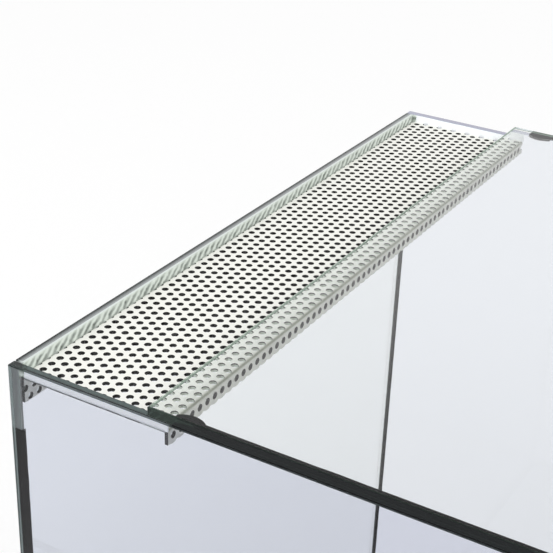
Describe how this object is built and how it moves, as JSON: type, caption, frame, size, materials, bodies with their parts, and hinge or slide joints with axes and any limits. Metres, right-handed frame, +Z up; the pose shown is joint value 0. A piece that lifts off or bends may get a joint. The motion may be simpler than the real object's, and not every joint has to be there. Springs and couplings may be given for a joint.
{
  "type": "reptile terrarium",
  "caption": "Frameless glass terrarium with a perforated metal vent along the rear of its top, a low front vent, black silicone seams and sliding glass front doors.",
  "frame": {"origin": "on the table under the middle of the tank: bottom centre of the bounding box", "axes": "+Z up, +Y to the back of the tank, +X to the right seen from the front"},
  "size_m": [0.348, 0.35, 0.4544],
  "materials": {
    "glass": "clear float glass with polished edges and ground arrises",
    "vent_sheet": "cream powder coat, fine satin",
    "black_silicone": "black silicone, satin",
    "clear_silicone": "clear silicone, slightly cloudy",
    "track_plastic": "black extruded plastic, satin"
  },
  "bodies": {
    "tank": {"floor_pane": "glass", "back_pane": "glass", "left_pane": "glass", "right_pane": "glass", "sill_pane": "glass", "ledge_pane": "glass", "header_pane": "glass", "top_pane": "glass", "top_vent": "vent_sheet", "front_vent": "vent_sheet", "lower_track": "track_plastic", "upper_track": "track_plastic", "floor_seam": "black_silicone", "back_left_seam": "black_silicone", "back_right_seam": "black_silicone", "back_left_bond": "clear_silicone", "back_right_bond": "clear_silicone", "sill_left_seam": "black_silicone", "sill_right_seam": "black_silicone", "header_left_seam": "black_silicone", "header_right_seam": "black_silicone", "ledge_left_bond": "black_silicone", "ledge_right_bond": "black_silicone", "top_left_seam": "black_silicone", "top_right_seam": "black_silicone", "top_front_seam": "black_silicone", "top_left_dab": "black_silicone", "top_right_dab": "black_silicone", "top_vent_back_bond": "clear_silicone", "top_vent_left_bond": "clear_silicone", "top_vent_right_bond": "clear_silicone", "front_vent_lower_bond": "clear_silicone", "front_vent_upper_bond": "clear_silicone", "lower_track_bond": "clear_silicone", "upper_track_bond": "clear_silicone"},
    "left_door": {"left_door": "glass"},
    "right_door": {"right_door": "glass"}
  },
  "joints": [
    {"name": "left_door_slide", "type": "slide", "parent": "tank", "child": "left_door", "axis": [1, 0, 0], "range_m": [0, 0.159]},
    {"name": "right_door_slide", "type": "slide", "parent": "tank", "child": "right_door", "axis": [1, 0, 0], "range_m": [-0.159, 0]}
  ]
}
